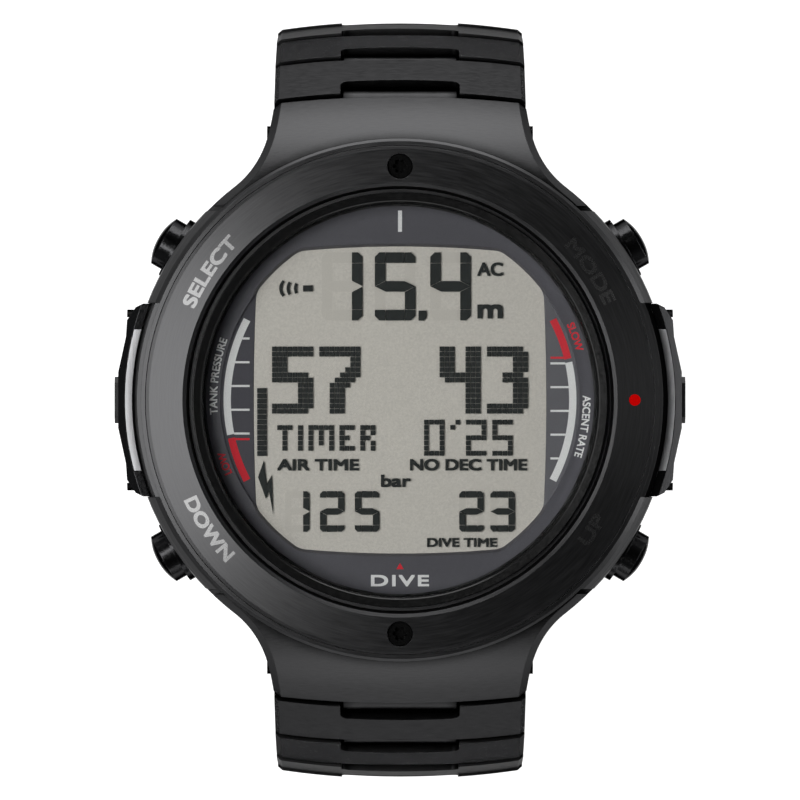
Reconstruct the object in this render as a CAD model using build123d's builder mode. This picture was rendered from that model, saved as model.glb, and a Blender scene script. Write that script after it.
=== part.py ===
from build123d import *
from math import asin, cos, degrees, pi, radians, sin, sqrt
import os

os.makedirs("parts", exist_ok=True)

# A wrist dive computer on a closed folding-clasp bracelet, in millimetres.
# +Z points out of the dial and +Y to 12 o'clock. The origin is under the middle of
# the clasp, so that the closed watch stands on z = 0 with its dial up.

# ---------------------------------------------------------------- bracelet and clasp
LINK_PITCH = 6.7
END_LINK_ANGLE = 46.0  # degrees below the horizontal
LINK_ANGLES = (58.0, 70.0, 80.5, 92.0, 106.0, 123.0, 142.0)
FIRST_PIVOT = (28.98, 6.90)  # y, and height above the case back

LINK_HALF_WIDTH = 12.2
LINK_OUTER = 1.9  # skin above the pin's axis, at the middle of the crown
LINK_EDGE = 1.0  # the same at the sides
LINK_INNER = 1.5  # skin on the wrist side of the pin's axis
LINK_NOSE = 1.3  # link's edge ahead of its own pin
LINK_GAP = 0.12
TONGUE_HALF_WIDTH = 5.5
NOTCH_HALF_WIDTH = 5.8
NOTCH_DEPTH = 1.0  # how far the slot's mouth reaches past the pin's axis
NOTCH_CORNER = 0.75
LIP = 0.45  # rounding of a link's outer edges
TONGUE_RADIUS = 1.05
PIN_RADIUS = 0.5
PIN_CLEARANCE = 0.06

CLASP_RADIUS = 90.0  # outer face of the arched clasp
CLASP_FLAT = 0.25  # depth of the flat that the watch stands on
COVER_PLATE = 1.8
COVER_HALF_WIDTH = 11.6
COVER_WALL = 1.6
BLADE_THICKNESS = 1.0
BLADE_HALF_WIDTH = 9.0
OUTER_BLADE_TOP = CLASP_RADIUS - COVER_PLATE - 0.3
INNER_BLADE_TOP = OUTER_BLADE_TOP - 1.8
COVER_HINGE = (-19.5, OUTER_BLADE_TOP - 0.75)  # y, radius in the arch
BLADE_HINGE = (17.0, OUTER_BLADE_TOP - 1.4)
FLAP_HINGE = (-8.0, CLASP_RADIUS - 0.9)
CLASP_PUSHER_Y = 5.0
ROUGH_RADIUS = CLASP_RADIUS + 1.0

# ---------------------------------------------------------------- head, heights above the case back
CASE_RADIUS = 26.05
CASE_TOP = 12.4
CAVITY_RADIUS = 20.3
BEZEL_RADIUS = 24.4
BEZEL_FLAT_RADIUS = 24.07
RIM_RADIUS = 24.85  # outer edge of the case's rim round the bezel
RIM_TOP = 15.1
GUARD_RIM_RADIUS = 25.25  # the same between the guards
SKIN_RADIUS = 25.1  # where the end links' skins begin
BEZEL_BORE = 19.93
BEZEL_TOP = 16.0
BEZEL_EDGE = 15.25
CRYSTAL_RADIUS = 18.8
CRYSTAL_TOP = 15.1
CRYSTAL_BOTTOM = 12.9
CRYSTAL_SEAT = 18.68  # inner radius of the ledge that carries the crystal
RING_BORE = 18.9
MASK_TOP = 12.35
MASK_BOTTOM = 11.85
MASK_RADIUS = 18.9
WINDOW_CIRCLE = 17.3
WINDOW_HALF_WIDTH = 14.1
WINDOW_HALF_HEIGHT = 14.8
WINDOW_BOW = 0.9  # how far the window's top and bottom bow outward
WINDOW_SIDE_BOW = 0.45
WINDOW_CORNER = 2.0
WINDOW_BEVEL = 0.25
BOARD_TOP = 8.8
BEZEL_SCREW_RADIUS = 22.4  # distance of the bezel screws from the centre
CASE_BACK_RADIUS = 22.2
CASE_BACK_TOP = 1.6

BUTTON_ANGLES = {"mode": 30.0, "select": 150.0, "down": 210.0, "up": 330.0}
BUTTON_OFFSET = 1.9  # the button's axis passes this far from the centre
BUTTON_HEIGHT = 8.0

GUARD_HALF_LENGTH = 9.3
TRIM_HALF_LENGTH = 6.8
PAD_HALF_WIDTH = 2.7
GUARD_SCREW_Y = 7.9

END_PIN = (25.9, 5.0)  # y and height of the pin through each end link
END_TAB_HALF_WIDTH = 7.5
END_LEDGE = 11.5
END_LEDGE_HALF_WIDTH = 19.0
END_LINK_START = 18.2  # y where the end links' skins begin
END_LINK_SHOULDER = (25.05, 12.85)  # y and height of the skin where it leaves the bezel
END_LINK_UNDER = (19.0, 14.9)  # the same arc, carried on under the bezel
FLANK = 0.7  # chamfer along the end links' sides


def chain_pivots():
    """Pin positions (y, height above the case back) from the head to the clasp."""
    pivots = [FIRST_PIVOT]
    for angle in LINK_ANGLES:
        y, height = pivots[-1]
        run = LINK_PITCH * cos(radians(angle))
        drop = LINK_PITCH * sin(radians(angle))
        pivots.append((y + run, height - drop))
    return pivots


PIVOTS = chain_pivots()
CLASP_PIN_Y, CLASP_PIN_HEIGHT = PIVOTS[-1]
CLASP_PIN_RADIUS = CLASP_RADIUS - LINK_OUTER
CLASP_PIN_ANGLE = degrees(asin(CLASP_PIN_Y / CLASP_PIN_RADIUS))
DEGREES_PER_MM = 180 / (pi * CLASP_PIN_RADIUS)
# the arch's centre lies above the clasp, and the clasp's flat lies on z = 0
CLASP_CENTRE = CLASP_RADIUS - CLASP_FLAT
CASE_BACK_Z = CLASP_CENTRE - CLASP_PIN_HEIGHT - CLASP_PIN_RADIUS * cos(radians(CLASP_PIN_ANGLE))


def up(height):
    """Z of a height above the case back."""
    return CASE_BACK_Z + height


def save(builder, name):
    builder.part.label = name
    export_step(builder.part, f"parts/{name}.step")


def save_solids(builders, name):
    """Write pieces that stay separate solids of one node."""
    solids = [solid for builder in builders for solid in builder.part.solids()]
    group = Compound(solids)
    group.label = name
    export_step(group, f"parts/{name}.step")


def ring_sketch(points):
    """Half profile (radius, height above the case back) in the XZ plane."""
    with BuildSketch(Plane.XZ) as profile:
        with BuildLine():
            Polyline([(radius, up(height)) for radius, height in points], close=True)
        make_face()
    return profile.sketch


def turn(points, mode=Mode.ADD):
    """Revolve a half profile about the head's axis."""
    revolve(ring_sketch(points), axis=Axis.Z, mode=mode)


def tube(inner, outer, bottom, top, mode=Mode.ADD):
    turn([(inner, bottom), (outer, bottom), (outer, top), (inner, top)], mode)


def rod(plane, radius, start, end, mode=Mode.ADD, position=(0, 0)):
    """Round rod along the plane's normal, from start to end."""
    with BuildSketch(plane.offset(start)) as section:
        with Locations(position):
            Circle(radius)
    extrude(section.sketch, amount=end - start, mode=mode)


def block(plane, width, height, start, end, mode=Mode.ADD, position=(0, 0)):
    """Rectangular bar along the plane's normal, from start to end."""
    with BuildSketch(plane.offset(start)) as section:
        with Locations(position):
            Rectangle(width, height)
    extrude(section.sketch, amount=end - start, mode=mode)


def button_plane(angle):
    """Plane whose normal runs out along a button, from the point nearest the centre."""
    a = radians(angle)
    side = 1 if sin(2 * a) > 0 else -1
    lateral = (-sin(a) * side * BUTTON_OFFSET, cos(a) * side * BUTTON_OFFSET)
    outward = (cos(a), sin(a), 0)
    return Plane(
        origin=(lateral[0], lateral[1], up(BUTTON_HEIGHT)),
        x_dir=(-sin(a), cos(a), 0),
        z_dir=outward,
    )


BUTTON_PLANES = {name: button_plane(angle) for name, angle in BUTTON_ANGLES.items()}
TUBE_BORE = 1.05
TUBE_NECK = 1.7
COLLAR_RADIUS = 3.1
COLLAR_START = 23.6
COLLAR_END = 26.35
CAP_BORE = 2.56
CAP_RADIUS = 2.5
SPRING_FLOOR = 24.4
HEAD_PLANE = Plane.XY.offset(CASE_BACK_Z)

# ================================================================ head: shells
with BuildPart() as guard_rims:
    turn(
        [
            (BEZEL_RADIUS + 0.05, CASE_TOP),
            (GUARD_RIM_RADIUS, CASE_TOP),
            (GUARD_RIM_RADIUS, RIM_TOP - 0.27),
            (BEZEL_RADIUS + 0.05, RIM_TOP),
        ]
    )
    block(Plane.XY, 60, 2 * GUARD_HALF_LENGTH, 0, 80, Mode.INTERSECT)

with BuildPart() as case_body:
    turn(
        [
            (CASE_BACK_RADIUS + 0.05, 0.9),
            (23.6, 0.9),
            (25.2, 2.1),
            (CASE_RADIUS, 4.2),
            (CASE_RADIUS, 13.0),
            (25.95, 13.55),
            (25.7, 14.05),
            (25.3, 14.55),
            (RIM_RADIUS, RIM_TOP - 0.13),
            (BEZEL_RADIUS + 0.05, RIM_TOP),
            (BEZEL_RADIUS + 0.05, CASE_TOP),
            (MASK_RADIUS + 0.1, CASE_TOP),
            (MASK_RADIUS + 0.1, 11.4),
            (CAVITY_RADIUS, 11.4),
            (CAVITY_RADIUS, 2.6),
            (19.85, 2.6),
            (19.85, CASE_BACK_TOP),
            (CASE_BACK_RADIUS + 0.05, CASE_BACK_TOP),
        ]
    )
    # tabs that the end links hook onto
    for side in (1, -1):
        with BuildSketch(Plane.YZ) as tab:
            with Locations((side * END_PIN[0], up(END_PIN[1]))):
                Circle(1.7)
            with Locations((side * (END_PIN[0] - 1.6), up(END_PIN[1]))):
                Rectangle(3.2, 3.4)
        extrude(tab.sketch, amount=END_TAB_HALF_WIDTH, both=True)
        rod(Plane.YZ, 0.85, -8, 8, Mode.SUBTRACT, (side * END_PIN[0], up(END_PIN[1])))
    tube(19.86, CAVITY_RADIUS, 2.61, 11.39, Mode.SUBTRACT)
    # ledges that the end links' skins lie on
    with BuildSketch(HEAD_PLANE.offset(END_LEDGE)) as ledges:
        Rectangle(2 * END_LEDGE_HALF_WIDTH, 60)
        Rectangle(60, 2 * END_LINK_START - 0.1, mode=Mode.SUBTRACT)
        Circle(SKIN_RADIUS, mode=Mode.SUBTRACT)
    extrude(ledges.sketch, amount=4, mode=Mode.SUBTRACT)
    # seats for the guards at 3 and 9 o'clock
    with BuildSketch(HEAD_PLANE.offset(3.2)) as seats:
        Rectangle(60, 2 * GUARD_HALF_LENGTH + 0.1)
        Circle(25.8, mode=Mode.SUBTRACT)
    extrude(seats.sketch, amount=12, mode=Mode.SUBTRACT)
    with BuildSketch(HEAD_PLANE.offset(11.0)) as gaps:
        Rectangle(60, 2 * GUARD_HALF_LENGTH + 0.1)
        Circle(GUARD_RIM_RADIUS, mode=Mode.SUBTRACT)
    extrude(gaps.sketch, amount=4, mode=Mode.SUBTRACT)
    add(guard_rims.part)
    for plane in BUTTON_PLANES.values():
        rod(plane, TUBE_NECK, 17, 30, Mode.SUBTRACT)
        rod(plane, COLLAR_RADIUS, COLLAR_START, 30, Mode.SUBTRACT)
    for side in (1, -1):
        rod(HEAD_PLANE, 0.7, 9.5, 13, Mode.SUBTRACT, (0, side * BEZEL_SCREW_RADIUS))
        for end in (1, -1):
            rod(Plane.YZ, 0.4, side * 22.6, side * 27, Mode.SUBTRACT, (end * GUARD_SCREW_Y, up(8)))
    with PolarLocations(21.3, 4, start_angle=45):
        with Locations((0, 0, up(3))):
            Cylinder(0.5, 5, mode=Mode.SUBTRACT)
save(case_body, "case_body")

with BuildPart() as bezel_ring:
    turn(
        [
            (BEZEL_BORE, CASE_TOP),
            (BEZEL_RADIUS, CASE_TOP),
            (BEZEL_RADIUS, BEZEL_EDGE - 0.12),
            (BEZEL_FLAT_RADIUS, BEZEL_EDGE),
            (20.84, BEZEL_TOP),
            (20.5, BEZEL_TOP - 0.17),
            (20.25, CRYSTAL_TOP - 0.5),
            (BEZEL_BORE, CRYSTAL_TOP - 0.5),
        ]
    )
    for side in (1, -1):
        position = (0, side * BEZEL_SCREW_RADIUS)
        rod(HEAD_PLANE, 1.23, 13.9, 17, Mode.SUBTRACT, position)
        rod(HEAD_PLANE, 0.75, 12, 17, Mode.SUBTRACT, position)
save(bezel_ring, "bezel_ring")

with BuildPart() as bezel_screws:
    for side in (1, -1):
        position = (0, side * BEZEL_SCREW_RADIUS)
        rod(HEAD_PLANE, 1.18, 13.9, 15.2, position=position)
        rod(HEAD_PLANE, 0.7, 9.6, 13.9, position=position)
        with BuildSketch(HEAD_PLANE.offset(14.5)) as star:
            with Locations(position):
                Circle(0.48)
                with PolarLocations(0.48, 6):
                    Circle(0.2)
        extrude(star.sketch, amount=1, mode=Mode.SUBTRACT)
save(bezel_screws, "bezel_screws")

with BuildPart() as crystal_ring:
    turn(
        [
            (CRYSTAL_SEAT, CASE_TOP),
            (19.9, CASE_TOP),
            (19.9, CRYSTAL_TOP + 0.28),
            (19.85, CRYSTAL_TOP + 0.33),
            (19.15, CRYSTAL_TOP + 0.25),
            (19.05, CRYSTAL_TOP + 0.18),
            (RING_BORE, CRYSTAL_TOP - 0.1),
            (RING_BORE, 12.7),
            (CRYSTAL_SEAT, 12.7),
        ]
    )
save(crystal_ring, "crystal_ring")

with BuildPart() as crystal_gasket:
    tube(CRYSTAL_SEAT, CRYSTAL_RADIUS, 12.7, CRYSTAL_BOTTOM)
save(crystal_gasket, "crystal_gasket")

with BuildPart() as crystal:
    rod(HEAD_PLANE, CRYSTAL_RADIUS, CRYSTAL_BOTTOM, CRYSTAL_TOP)
    chamfer(crystal.edges().filter_by(GeomType.CIRCLE).sort_by(Axis.Z)[-1], 0.15)
save(crystal, "crystal")

# ================================================================ head: display and works
def window_outline(grow, height):
    """Display opening: four bowed sides, with corners cut by a circle."""
    half_width = WINDOW_HALF_WIDTH + grow
    half_height = WINDOW_HALF_HEIGHT + grow
    corner_x = half_width - WINDOW_SIDE_BOW
    corner_y = half_height - WINDOW_BOW
    with BuildSketch(HEAD_PLANE.offset(height)) as opening:
        with BuildLine():
            ThreePointArc((-corner_x, corner_y), (0, half_height), (corner_x, corner_y))
            ThreePointArc((corner_x, corner_y), (half_width, 0), (corner_x, -corner_y))
            ThreePointArc((corner_x, -corner_y), (0, -half_height), (-corner_x, -corner_y))
            ThreePointArc((-corner_x, -corner_y), (-half_width, 0), (-corner_x, corner_y))
        make_face()
        Circle(WINDOW_CIRCLE + grow, mode=Mode.INTERSECT)
        fillet(opening.vertices(), WINDOW_CORNER)
    return opening.sketch


SLOPE_START = 12.0  # distance of the sloping floor's low edge from the middle
with BuildPart() as scale_recess:
    for side in (1, -1):
        with BuildSketch(Plane.XZ) as slope:
            with BuildLine():
                Polyline(
                    (side * SLOPE_START, up(MASK_BOTTOM - 0.17)),
                    (side * WINDOW_CIRCLE, up(MASK_TOP - 0.08)),
                    (side * WINDOW_CIRCLE, up(MASK_TOP + 1)),
                    (side * SLOPE_START, up(MASK_TOP + 1)),
                    close=True,
                )
            make_face()
        extrude(slope.sketch, amount=WINDOW_HALF_WIDTH, both=True)
    rod(HEAD_PLANE, WINDOW_CIRCLE, MASK_BOTTOM - 1, MASK_TOP + 2, Mode.INTERSECT)

with BuildPart() as dial_mask:
    rod(HEAD_PLANE, MASK_RADIUS, MASK_BOTTOM, MASK_TOP)
    # floors of the two printed scales, sloping down to the display
    add(scale_recess.part, mode=Mode.SUBTRACT)
    sections = [window_outline(0, MASK_BOTTOM), window_outline(WINDOW_BEVEL, MASK_TOP)]
    loft(sections, ruled=True, mode=Mode.SUBTRACT)
save(dial_mask, "dial_mask")

with BuildPart() as lcd_panel:
    with BuildSketch(HEAD_PLANE.offset(11.05)) as lcd_outline:
        Rectangle(30.6, 32)
        Circle(18.6, mode=Mode.INTERSECT)
    extrude(amount=MASK_BOTTOM - 11.05)
save(lcd_panel, "lcd_panel")

with BuildPart() as backlight_panel:
    with BuildSketch(HEAD_PLANE.offset(10.25)) as backlight_outline:
        Rectangle(29, 31)
        Circle(18.2, mode=Mode.INTERSECT)
    extrude(amount=0.75)
save(backlight_panel, "backlight_panel")

with BuildPart() as zebra_strips:
    for side in (1, -1):
        block(HEAD_PLANE, 20, 1.6, BOARD_TOP, 10.25, position=(0, side * 13.2))
save(zebra_strips, "zebra_strips")

with BuildPart() as circuit_board:
    rod(HEAD_PLANE, 17.8, BOARD_TOP - 0.8, BOARD_TOP)
    rod(HEAD_PLANE, 1.0, 7, 10, Mode.SUBTRACT, (11.5, 11.5))
    rod(HEAD_PLANE, 1.0, 7, 10, Mode.SUBTRACT, (-11.5, 11.5))
save(circuit_board, "circuit_board")

with BuildPart() as board_chips:
    block(HEAD_PLANE, 7, 7, 7.2, 8.0, position=(-1, 8))
    block(HEAD_PLANE, 4, 3, 7.3, 8.0, position=(9, 6))
    block(HEAD_PLANE, 3.2, 1.6, 7.0, 8.0, position=(-9.5, 7))
    block(HEAD_PLANE, 4, 4, 7.2, 8.0, position=(8, -11.5))
save(board_chips, "board_chips")

with BuildPart() as module_frame:
    turn(
        [
            (18.0, 2.7),
            (19.6, 2.7),
            (20.1, 3.2),
            (20.1, 11.3),
            (18.65, 11.3),
            (18.65, 10.25),
            (18.0, 10.25),
        ]
    )
    for plane in BUTTON_PLANES.values():
        rod(plane, 2.1, 17.0, 25, Mode.SUBTRACT)
save(module_frame, "module_frame")

with BuildPart() as battery:
    rod(HEAD_PLANE, 11.0, 3.0, 3.5, position=(0, 2))
    rod(HEAD_PLANE, 12.2, 3.5, 6.1, position=(0, 2))
    fillet(battery.edges().filter_by(GeomType.CIRCLE).sort_by(Axis.Z)[-1], 0.4)
save(battery, "battery")

with BuildPart() as battery_contacts:
    block(HEAD_PLANE, 16, 3, 6.1, 6.35, position=(0, 2))
    block(HEAD_PLANE, 2, 3, 6.35, 8.0, position=(-7, 2))
    block(HEAD_PLANE, 2, 3, 3.6, 8.0, position=(13.6, 2))
save(battery_contacts, "battery_contacts")

SENSOR_Y = -14.2
with BuildPart() as pressure_sensor:
    rod(HEAD_PLANE, 3.1, 1.9, 5.6, position=(0, SENSOR_Y))
    rod(HEAD_PLANE, 2.2, 5.6, 8.0, position=(0, SENSOR_Y))
save(pressure_sensor, "pressure_sensor")

with BuildPart() as piezo_buzzer:
    rod(HEAD_PLANE, 8.5, CASE_BACK_TOP + 0.8, 2.65, position=(0, 2))
    rod(HEAD_PLANE, 5.5, 2.65, 2.85, position=(0, 2))
save(piezo_buzzer, "piezo_buzzer")

with BuildPart() as antenna_coil:
    block(HEAD_PLANE, 1.8, 14, 4.2, 6.6, position=(-15.2, 0))
    block(HEAD_PLANE, 3.2, 9, 3.8, 7.0, position=(-15.2, 0))
save(antenna_coil, "antenna_coil")

# ================================================================ head: case back
with BuildPart() as case_back:
    turn(
        [
            (0, 0),
            (21.6, 0),
            (CASE_BACK_RADIUS, 0.6),
            (CASE_BACK_RADIUS, CASE_BACK_TOP),
            (19.8, CASE_BACK_TOP),
            (19.8, CASE_BACK_TOP + 0.8),
            (0, CASE_BACK_TOP + 0.8),
        ]
    )
    tube(20.2, 20.6, 1.2, CASE_BACK_TOP + 0.1, Mode.SUBTRACT)
    rod(HEAD_PLANE, 3.2, 1.9, 3, Mode.SUBTRACT, (0, SENSOR_Y))
    with PolarLocations(21.3, 4, start_angle=45):
        with Locations((0, 0, up(0))):
            CounterBoreHole(0.52, 0.75, 0.7, depth=4)
        with Locations((0, 0, up(0.35))):
            Cylinder(0.75, 0.7, mode=Mode.SUBTRACT)
    with Locations((0, SENSOR_Y, up(0))):
        with PolarLocations(1.5, 5):
            Cylinder(0.4, 5, mode=Mode.SUBTRACT)
save(case_back, "case_back")

with BuildPart() as case_back_gasket:
    tube(20.2, 20.6, 1.2, CASE_BACK_TOP)
save(case_back_gasket, "case_back_gasket")

with BuildPart() as case_back_screws:
    with PolarLocations(21.3, 4, start_angle=45):
        with Locations((0, 0, up(0.4))):
            Cylinder(0.7, 0.55)
        with Locations((0, 0, up(2.6))):
            Cylinder(0.45, 4.0)
        with Locations((0, 0, up(0.15))):
            Box(0.25, 1.6, 0.2, mode=Mode.SUBTRACT)
save(case_back_screws, "case_back_screws")

# ================================================================ head: buttons
with BuildPart() as button_tubes:
    for plane in BUTTON_PLANES.values():
        rod(plane, TUBE_NECK, 20.6, COLLAR_START)
        rod(plane, COLLAR_RADIUS, COLLAR_START, COLLAR_END)
        rod(plane, TUBE_BORE, 20, 30, Mode.SUBTRACT)
        rod(plane, CAP_BORE, SPRING_FLOOR, 30, Mode.SUBTRACT)
        rod(plane, 1.35, 21.2, 22.0, Mode.SUBTRACT)
save(button_tubes, "button_tubes")

with BuildPart() as button_seals:
    for plane in BUTTON_PLANES.values():
        rod(plane, 1.35, 21.2, 22.0)
        rod(plane, 1.03, 21, 22.2, Mode.SUBTRACT)
save(button_seals, "button_seals")

CAP_BACK = 25.5
CAP_EDGE = 27.55
DOME_TOP = 28.15
CLIP_START = 20.0
for name, plane in BUTTON_PLANES.items():
    with BuildPart() as button:
        rod(plane, CAP_RADIUS, CAP_BACK, CAP_EDGE)
        axis = Axis(plane.origin, plane.z_dir)
        with BuildSketch(Plane(plane.origin, x_dir=plane.x_dir, z_dir=plane.y_dir)) as dome:
            # the sketch's y axis points inward along the button
            with BuildLine():
                ThreePointArc((CAP_RADIUS, -CAP_EDGE), (CAP_RADIUS * 0.62, -DOME_TOP + 0.2), (0, -DOME_TOP))
                Line((0, -DOME_TOP), (0, -CAP_EDGE))
                Line((0, -CAP_EDGE), (CAP_RADIUS, -CAP_EDGE))
            make_face()
        revolve(dome.sketch, axis=axis)
        rod(plane, 1.0, 19.6, CAP_BACK)
        rod(plane, 0.7, CLIP_START, CLIP_START + 0.4)
    with BuildPart() as clip:
        rod(plane, 1.5, CLIP_START, CLIP_START + 0.4)
        rod(plane, 1.0, 19, 22, Mode.SUBTRACT)
        block(plane, 1.2, 2.0, CLIP_START - 0.1, CLIP_START + 0.5, Mode.SUBTRACT, (0, -1.2))
    save_solids([button, clip], f"button_{name}")

    with BuildPart() as spring:
        first_turn = plane.offset(SPRING_FLOOR + 0.15).origin
        with BuildLine() as coil:
            Helix(
                pitch=0.3,
                height=0.8,
                radius=1.7,
                center=first_turn,
                direction=plane.z_dir,
            )
        with BuildSketch(Plane(origin=coil.line @ 0, z_dir=coil.line % 0)):
            Circle(0.1)
        sweep(is_frenet=True)
    save(spring, f"button_spring_{name}")

# ================================================================ head: guards
def guard_outline():
    """Plan of the right-hand guard, outside the trim strip."""
    half = GUARD_HALF_LENGTH
    with BuildSketch(HEAD_PLANE) as outline:
        with BuildLine():
            inner_top = (sqrt(25.83**2 - half**2), half)
            outer = [(25.5, half - 0.35), (26.35, 7.7), (26.45, 6.1), (27.0, 3.6)]
            top = Line(inner_top, (24.75, half))
            Polyline([top @ 1] + outer + [(27.2, PAD_HALF_WIDTH)])
            Line((27.2, PAD_HALF_WIDTH), (27.2, -PAD_HALF_WIDTH))
            low = [(x, -y) for x, y in reversed(outer)]
            Polyline([(27.2, -PAD_HALF_WIDTH)] + low + [(24.75, -half)])
            Line((24.75, -half), (inner_top[0], -half))
            ThreePointArc((inner_top[0], -half), (25.83, 0), inner_top)
        make_face()
    return outline.sketch


with BuildPart() as side_guards:
    for side in (1, -1):
        with BuildSketch(HEAD_PLANE.offset(3.9)) as guard_plan:
            face = guard_outline()
            if side < 0:
                face = mirror(face, about=Plane.YZ, mode=Mode.PRIVATE)
            add(face.moved(Location((0, 0, 3.9))))
        extrude(guard_plan.sketch, amount=8.0)
        # outer edge, sloping down from the trim strip
        turn([(26.5, 11.95), (29, 11.95), (29, 10.0)], Mode.SUBTRACT)
        # room for the trim strip behind the guard
        with BuildSketch(HEAD_PLANE.offset(3.8)) as strip_room:
            Rectangle(60, 2 * TRIM_HALF_LENGTH + 0.06)
            Circle(26.53, mode=Mode.INTERSECT)
        extrude(strip_room.sketch, amount=9, mode=Mode.SUBTRACT)
        block(Plane.YZ, 4.6, 4.6, side * 26.6, side * 28, Mode.SUBTRACT, (0, up(8)))
        for end in (1, -1):
            position = (end * GUARD_SCREW_Y, up(8))
            rod(Plane.YZ, 0.45, side * 24, side * 28, Mode.SUBTRACT, position)
            rod(Plane.YZ, 0.92, side * 25.7, side * 28, Mode.SUBTRACT, position)
save(side_guards, "side_guards")

with BuildPart() as guard_trims:
    with BuildSketch(HEAD_PLANE.offset(4.2)) as strips:
        Rectangle(60, 2 * TRIM_HALF_LENGTH)
        Circle(26.5, mode=Mode.INTERSECT)
        Circle(25.83, mode=Mode.SUBTRACT)
        Rectangle(40, 20, mode=Mode.SUBTRACT)
    extrude(amount=7.9)
save(guard_trims, "guard_trims")

with BuildPart() as guard_screws:
    for side in (1, -1):
        for end in (1, -1):
            position = (end * GUARD_SCREW_Y, up(8))
            rod(Plane.YZ, 0.88, side * 25.7, side * 26.45, position=position)
            rod(Plane.YZ, 0.4, side * 22.8, side * 25.7, position=position)
            block(Plane.YZ, 0.28, 2.4, side * 26.2, side * 26.6, Mode.SUBTRACT, position)
save(guard_screws, "guard_screws")

with BuildPart() as contact_pads:
    for side in (1, -1):
        block(Plane.YZ, 4.5, 4.5, side * 26.6, side * 27.6, position=(0, up(8)))
    chamfer(contact_pads.edges().filter_by(Axis.X), 0.6)
    for side in (1, -1):
        rod(Plane.YZ, 0.9, side * 27.3, side * 28, Mode.SUBTRACT, (0, up(8)))
save(contact_pads, "contact_pads")


# ================================================================ bracelet
def profile_plane(pivot, angle, side):
    """Side view of a link: x runs along it from its pin, y points off the wrist."""
    a = radians(angle)
    return Plane(
        origin=(0, side * pivot[0], up(pivot[1])),
        x_dir=(0, side * cos(a), -sin(a)),
        z_dir=(side, 0, 0),
    )


def section_plane(pivot, angle, side):
    """Cross-section of a link: y points off the wrist, the normal runs along the link."""
    a = radians(angle)
    return Plane(
        origin=(0, side * pivot[0], up(pivot[1])),
        x_dir=(-side, 0, 0),
        z_dir=(0, side * cos(a), -sin(a)),
    )


def crown_section(plane):
    """Crowned cross-section that trims a link's width."""
    half = LINK_HALF_WIDTH
    with BuildSketch(plane) as crown:
        with BuildLine():
            left = (LIP - half, LINK_EDGE + 0.05)
            right = (half - LIP, LINK_EDGE + 0.05)
            ThreePointArc(left, (0, LINK_OUTER), right)
            Polyline(
                right,
                (half, LINK_EDGE - LIP + 0.1),
                (half, 0.5 - LINK_INNER),
                (half - 0.5, -LINK_INNER),
                (0.5 - half, -LINK_INNER),
                (-half, 0.5 - LINK_INNER),
                (-half, LINK_EDGE - LIP + 0.1),
                left,
            )
        make_face()
    return crown.sketch


def add_tongue(plane, length):
    """Tongue that reaches from a link's far edge to the next pin."""
    with BuildSketch(plane) as tongue:
        with Locations((length, 0)):
            Circle(TONGUE_RADIUS)
        with Locations((length - 1.3, -0.1)):
            Rectangle(2.6, 1.9)
    extrude(tongue.sketch, amount=TONGUE_HALF_WIDTH, both=True)
    rod(plane, PIN_RADIUS + PIN_CLEARANCE, -7, 7, Mode.SUBTRACT, (length, 0))


def cut_notch(plane):
    """Slot for the tongue of the piece before: a rounded mouth over a deeper pocket."""
    skin = Plane(plane.origin, x_dir=plane.x_dir, z_dir=plane.y_dir).offset(1.0)
    with BuildSketch(skin) as mouth:
        with Locations((NOTCH_DEPTH - 2, 0)):
            RectangleRounded(4, 2 * NOTCH_HALF_WIDTH, NOTCH_CORNER)
    extrude(mouth.sketch, amount=2.2, mode=Mode.SUBTRACT)
    with BuildSketch(plane) as pocket:
        with Locations((-0.325, -1.45)):
            Rectangle(3.35, 5.1)
    extrude(pocket.sketch, amount=NOTCH_HALF_WIDTH, both=True, mode=Mode.SUBTRACT)


def make_link(pivot, angle, side):
    """One link and its pin, which stays in the link's ears."""
    plane = profile_plane(pivot, angle, side)
    end = LINK_PITCH - LINK_NOSE - LINK_GAP
    with BuildPart() as body:
        with BuildSketch(plane) as profile:
            with BuildLine():
                low_lip = (-LINK_NOSE, LINK_OUTER - LIP)
                high_lip = (end, LINK_OUTER - LIP)
                RadiusArc(low_lip, (LIP - LINK_NOSE, LINK_OUTER), LIP)
                Line((LIP - LINK_NOSE, LINK_OUTER), (end - LIP, LINK_OUTER))
                RadiusArc((end - LIP, LINK_OUTER), high_lip, LIP)
                Polyline(
                    high_lip,
                    (end, -LINK_INNER),
                    (0.6 - LINK_NOSE, -LINK_INNER),
                    (-LINK_NOSE, 0),
                    low_lip,
                )
            make_face()
        extrude(profile.sketch, amount=LINK_HALF_WIDTH, both=True)
        crown = crown_section(section_plane(pivot, angle, side))
        extrude(crown, amount=LINK_PITCH, both=True, mode=Mode.INTERSECT)
        cut_notch(plane)
        add_tongue(plane, LINK_PITCH)
        rod(plane, PIN_RADIUS, -13, 13, Mode.SUBTRACT)
    with BuildPart() as pin:
        rod(plane, PIN_RADIUS, -11.8, 11.8)
    return [body, pin]


END_LINK_FLARE = (
    (17.95, 18.7),
    (16.6, 20.0),
    (15.3, 21.1),
    (13.85, 22.9),
    (12.88, 25.1),
    (12.43, 27.1),
    (LINK_HALF_WIDTH, 28.7),
)
FIRST_PROFILE = profile_plane(FIRST_PIVOT, END_LINK_ANGLE, 1)
SEAM = -LINK_NOSE - LINK_GAP
SEAM_OUTER = FIRST_PROFILE.from_local_coords(Vector(SEAM, LINK_OUTER, 0))
SEAM_INNER = FIRST_PROFILE.from_local_coords(Vector(SEAM, -LINK_INNER, 0))
SKIN_ARC = Edge.make_three_point_arc(
    (0, END_LINK_UNDER[0], up(END_LINK_UNDER[1])),
    (0, END_LINK_SHOULDER[0], up(END_LINK_SHOULDER[1])),
    SEAM_OUTER,
)


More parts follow.
